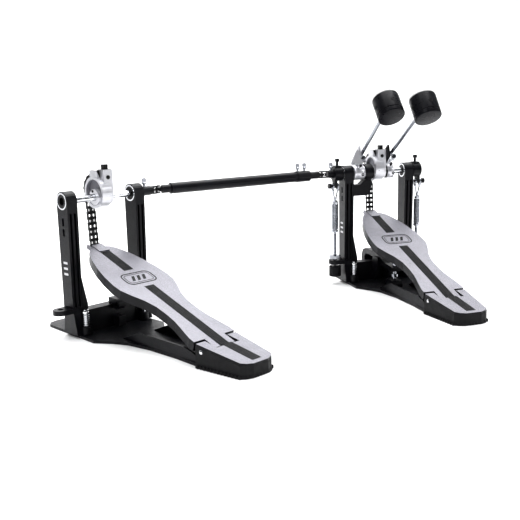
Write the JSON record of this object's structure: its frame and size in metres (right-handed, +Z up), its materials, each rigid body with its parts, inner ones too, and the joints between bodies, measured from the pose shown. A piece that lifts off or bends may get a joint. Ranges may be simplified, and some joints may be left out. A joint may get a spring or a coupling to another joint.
{
  "type": "double bass drum pedal",
  "caption": "Double bass drum pedal: a main pedal with felt beaters, and a remote pedal that drives a beater through a telescopic shaft with universal joints.",
  "frame": {"origin": "on the floor under the middle of the main pedal's axle", "axes": "+X along the main axle away from the remote pedal, +Y towards the drum, +Z up"},
  "size_m": [0.6724, 0.4935, 0.3378],
  "materials": {
    "black_powder_coat": "satin black powder coat on cast and plate metal",
    "silver_coat": "fine silver metallic powder coat",
    "chrome": "bright chrome plate on steel",
    "cast_silver": "bright cast aluminium",
    "black_plastic": "satin black moulded plastic",
    "black_steel": "blackened roller chain",
    "heel_rubber": "black ribbed rubber",
    "white_felt": "pressed white felt"
  },
  "bodies": {
    "main_frame": {"p_base_plate": "black_powder_coat", "p_post_left": "black_powder_coat", "p_post_right": "black_powder_coat", "p_crossbar": "black_powder_coat", "p_heel_block": "heel_rubber", "p_heel_plate": "silver_coat", "p_hinge_pin": "chrome", "p_bearing_left": "chrome", "p_bearing_right": "chrome", "p_centre_bracket": "black_powder_coat"},
    "main_axle": {"p_axle": "chrome", "p_cam_wheel": "cast_silver", "p_cam_hub": "cast_silver", "beater_hub_b": "cast_silver", "rocker_right": "black_powder_coat"},
    "main_board": {"p_footboard": "silver_coat"},
    "main_chain": {"p_chain": "black_steel"},
    "beater_b": {"beater_shaft_b": "chrome", "beater_head_b": "black_plastic", "beater_felt_b": "white_felt"},
    "half_axle": {"p_half_axle": "chrome", "beater_hub_a": "cast_silver", "rocker_left": "black_powder_coat", "u_joint_fork_right": "black_powder_coat"},
    "beater_a": {"beater_shaft_a": "chrome", "beater_head_a": "black_plastic", "beater_felt_a": "white_felt"},
    "link_left": {"spring_link_left": "chrome", "spring_left": "chrome"},
    "rod_left": {"spring_rod_left": "chrome"},
    "knob_left": {"tension_knob_left": "black_plastic"},
    "link_right": {"spring_link_right": "chrome", "spring_right": "chrome"},
    "rod_right": {"spring_rod_right": "chrome"},
    "knob_right": {"tension_knob_right": "black_plastic"},
    "hoop_jaw": {"clamp_jaw": "black_powder_coat"},
    "hoop_bolt": {"clamp_bolt": "chrome"},
    "main_spur_left": {"p_spur_left": "chrome"},
    "main_spur_right": {"p_spur_right": "chrome"},
    "remote_frame": {"s_base_plate": "black_powder_coat", "s_post_left": "black_powder_coat", "s_post_right": "black_powder_coat", "s_crossbar": "black_powder_coat", "s_heel_block": "heel_rubber", "s_heel_plate": "silver_coat", "s_hinge_pin": "chrome", "s_bearing_left": "chrome", "s_bearing_right": "chrome"},
    "remote_axle": {"s_axle": "chrome", "s_cam_wheel": "cast_silver", "s_cam_hub": "cast_silver", "u_joint_fork_left": "black_powder_coat"},
    "remote_board": {"s_footboard": "silver_coat"},
    "remote_chain": {"s_chain": "black_steel"},
    "remote_spur_left": {"s_spur_left": "chrome"},
    "remote_spur_right": {"s_spur_right": "chrome"},
    "drive_outer": {"drive_tube": "black_powder_coat", "u_joint_cross_left": "chrome"},
    "drive_inner": {"drive_sliding_shaft": "chrome", "u_joint_cross_right": "chrome"}
  },
  "joints": [
    {"name": "main_axle_turn", "type": "hinge", "parent": "main_frame", "child": "main_axle", "pos_m": [0, 0, 0.195], "axis": [1, 0, 0], "range_deg": [-56, 0], "stiffness_Nm_per_rad": 1.5, "springref_deg": 20.05},
    {"name": "half_axle_turn", "type": "hinge", "parent": "main_frame", "child": "half_axle", "pos_m": [-0.06, 0, 0.195], "axis": [1, 0, 0], "range_deg": [-56, 0], "stiffness_Nm_per_rad": 1.5, "springref_deg": 20.05},
    {"name": "main_board_tilt", "type": "hinge", "parent": "main_frame", "child": "main_board", "pos_m": [0, -0.246, 0.0225], "axis": [1, 0, 0], "range_deg": [-6, 0]},
    {"name": "main_chain_swing", "type": "hinge", "parent": "main_axle", "child": "main_chain", "pos_m": [0, 0.0316, 0.201], "axis": [1, 0, 0], "range_deg": [0, 67.3]},
    {"name": "link_left_swing", "type": "hinge", "parent": "half_axle", "child": "link_left", "pos_m": [-0.08, -0.002, 0.1745], "axis": [1, 0, 0], "range_deg": [0, 62.9]},
    {"name": "spring_left_stretch", "type": "slide", "parent": "link_left", "child": "rod_left", "axis": [0, 0, -1], "range_m": [0, 0.01001], "deforming": ["spring_left"]},
    {"name": "tension_knob_left_turn", "type": "hinge", "parent": "rod_left", "child": "knob_left", "pos_m": [-0.08, -0.0004, 0.0235], "axis": [0, 0, 1], "continuous": true},
    {"name": "link_right_swing", "type": "hinge", "parent": "main_axle", "child": "link_right", "pos_m": [0.08, -0.002, 0.1745], "axis": [1, 0, 0], "range_deg": [0, 62.9]},
    {"name": "spring_right_stretch", "type": "slide", "parent": "link_right", "child": "rod_right", "axis": [0, 0, -1], "range_m": [0, 0.01001], "deforming": ["spring_right"]},
    {"name": "tension_knob_right_turn", "type": "hinge", "parent": "rod_right", "child": "knob_right", "pos_m": [0.08, -0.0004, 0.0235], "axis": [0, 0, 1], "continuous": true},
    {"name": "beater_a_height", "type": "slide", "parent": "half_axle", "child": "beater_a", "axis": [0, -0.7705, 0.6374], "range_m": [-0.02, 0.02]},
    {"name": "beater_b_height", "type": "slide", "parent": "main_axle", "child": "beater_b", "axis": [0, -0.8211, 0.5707], "range_m": [-0.02, 0.02]},
    {"name": "hoop_jaw_tilt", "type": "hinge", "parent": "main_frame", "child": "hoop_jaw", "pos_m": [0, -0.028, 0.041], "axis": [1, 0, 0], "range_deg": [0, 5]},
    {"name": "hoop_bolt_travel", "type": "slide", "parent": "main_frame", "child": "hoop_bolt", "axis": [0, 0, -1], "range_m": [0, 0.0038]},
    {"name": "main_spur_left_height", "type": "slide", "parent": "main_frame", "child": "main_spur_left", "axis": [0, 0, 1], "range_m": [0, 0.006]},
    {"name": "main_spur_right_height", "type": "slide", "parent": "main_frame", "child": "main_spur_right", "axis": [0, 0, 1], "range_m": [0, 0.006]},
    {"name": "remote_spur_left_height", "type": "slide", "parent": "remote_frame", "child": "remote_spur_left", "axis": [0, 0, 1], "range_m": [0, 0.006]},
    {"name": "remote_spur_right_height", "type": "slide", "parent": "remote_frame", "child": "remote_spur_right", "axis": [0, 0, 1], "range_m": [0, 0.006]},
    {"name": "telescope", "type": "slide", "parent": "main_frame", "child": "remote_frame", "axis": [0.9698, 0.244, 0], "range_m": [-0.06, 0.012]},
    {"name": "remote_axle_turn", "type": "hinge", "parent": "remote_frame", "child": "remote_axle", "pos_m": [-0.49645, -0.12153, 0.195], "axis": [0.8921, 0.4517, 0], "range_deg": [-56, 0]},
    {"name": "remote_board_tilt", "type": "hinge", "parent": "remote_frame", "child": "remote_board", "pos_m": [-0.38532, -0.341, 0.0225], "axis": [0.8921, 0.4517, 0], "range_deg": [-6, 0]},
    {"name": "remote_chain_swing", "type": "hinge", "parent": "remote_axle", "child": "remote_chain", "pos_m": [-0.51072, -0.09334, 0.201], "axis": [0.8921, 0.4517, 0], "range_deg": [0, 67.3]},
    {"name": "drive_tube_turn", "type": "hinge", "parent": "remote_frame", "child": "drive_outer", "pos_m": [-0.40724, -0.07636, 0.195], "axis": [0.9698, 0.244, 0], "range_deg": [-56, 0]},
    {"name": "drive_shaft_turn", "type": "hinge", "parent": "main_frame", "child": "drive_inner", "pos_m": [-0.1037, 0, 0.195], "axis": [0.9698, 0.244, 0], "range_deg": [-56, 0]}
  ],
  "couplings": [
    {"joint": "main_board_tilt", "follows": "main_axle_turn", "ratio": 0.10714},
    {"joint": "main_chain_swing", "follows": "main_axle_turn", "ratio": -1.2},
    {"joint": "link_left_swing", "follows": "half_axle_turn", "ratio": -1.1214},
    {"joint": "spring_left_stretch", "follows": "half_axle_turn", "m_per_rad": -0.010231},
    {"joint": "link_right_swing", "follows": "main_axle_turn", "ratio": -1.1214},
    {"joint": "spring_right_stretch", "follows": "main_axle_turn", "m_per_rad": -0.010231},
    {"joint": "hoop_bolt_travel", "follows": "hoop_jaw_tilt", "m_per_rad": 0.043535},
    {"joint": "remote_axle_turn", "follows": "half_axle_turn", "ratio": 1},
    {"joint": "remote_board_tilt", "follows": "half_axle_turn", "ratio": 0.10714},
    {"joint": "remote_chain_swing", "follows": "half_axle_turn", "ratio": -1.2},
    {"joint": "drive_tube_turn", "follows": "half_axle_turn", "ratio": 1},
    {"joint": "drive_shaft_turn", "follows": "half_axle_turn", "ratio": 1}
  ]
}
